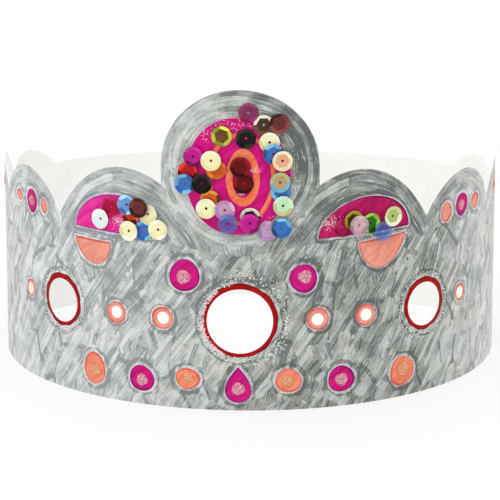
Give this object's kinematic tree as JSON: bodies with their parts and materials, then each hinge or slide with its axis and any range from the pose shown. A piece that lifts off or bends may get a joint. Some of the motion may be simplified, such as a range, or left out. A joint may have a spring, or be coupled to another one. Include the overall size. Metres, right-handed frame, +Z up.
{
  "type": "paper crown",
  "caption": "Scalloped card crown rolled into a ring and glued at the back, punched with round holes, coloured with markers and set with cupped sequins.",
  "frame": {"origin": "middle of the card ring's footprint on the surface it stands on", "axes": "+Z up, -Y towards the front with the tall lobe, +X to the right as seen from the front"},
  "size_m": [0.18, 0.1587, 0.1125],
  "materials": {
    "card": "white card coloured with grey felt marker, matt",
    "sequin_amber": "metallic film",
    "sequin_black": "metallic film",
    "sequin_blue": "metallic film",
    "sequin_bronze": "metallic film",
    "sequin_brown": "metallic film",
    "sequin_cream": "pearl film",
    "sequin_garnet": "metallic film",
    "sequin_gold": "metallic film",
    "sequin_green": "metallic film",
    "sequin_lilac": "pearl film",
    "sequin_lime": "pearl film",
    "sequin_magenta": "tinted clear film",
    "sequin_mint": "pearl film",
    "sequin_olive": "metallic film",
    "sequin_orange": "metallic film",
    "sequin_peach": "metallic film",
    "sequin_pink": "pearl film",
    "sequin_plum": "tinted clear film",
    "sequin_red": "metallic film",
    "sequin_scarlet": "metallic film",
    "sequin_sky": "metallic film",
    "sequin_violet": "tinted clear film",
    "sequin_white": "pearl film"
  },
  "bodies": {
    "root": {"centre_sequin_01_bronze": "sequin_bronze", "centre_sequin_02_plum": "sequin_plum", "centre_sequin_03_brown": "sequin_brown", "centre_sequin_04_cream": "sequin_cream", "centre_sequin_05_blue": "sequin_blue", "centre_sequin_06_peach": "sequin_peach", "centre_sequin_07_olive": "sequin_olive", "centre_sequin_08_black": "sequin_black", "centre_sequin_09_red": "sequin_red", "centre_sequin_10_magenta": "sequin_magenta", "centre_sequin_11_amber": "sequin_amber", "centre_sequin_12_cream": "sequin_cream", "centre_sequin_13_garnet": "sequin_garnet", "centre_sequin_14_garnet": "sequin_garnet", "centre_sequin_15_orange": "sequin_orange", "centre_sequin_16_blue": "sequin_blue", "centre_sequin_17_black": "sequin_black", "centre_sequin_18_blue": "sequin_blue", "centre_sequin_19_gold": "sequin_gold", "centre_sequin_20_mint": "sequin_mint", "centre_sequin_21_cream": "sequin_cream", "centre_sequin_22_lilac": "sequin_lilac", "centre_sequin_23_violet": "sequin_violet", "centre_sequin_24_black": "sequin_black", "centre_sequin_25_lilac": "sequin_lilac", "centre_sequin_26_magenta": "sequin_magenta", "centre_sequin_27_blue": "sequin_blue", "crown_band": "card", "left_sequin_01_magenta": "sequin_magenta", "left_sequin_02_blue": "sequin_blue", "left_sequin_03_scarlet": "sequin_scarlet", "left_sequin_04_cream": "sequin_cream", "left_sequin_05_sky": "sequin_sky", "left_sequin_06_brown": "sequin_brown", "left_sequin_07_cream": "sequin_cream", "left_sequin_08_cream": "sequin_cream", "left_sequin_09_white": "sequin_white", "right_sequin_01_magenta": "sequin_magenta", "right_sequin_02_olive": "sequin_olive", "right_sequin_03_green": "sequin_green", "right_sequin_04_pink": "sequin_pink", "right_sequin_05_violet": "sequin_violet", "right_sequin_06_lime": "sequin_lime"}
  },
  "joints": []
}
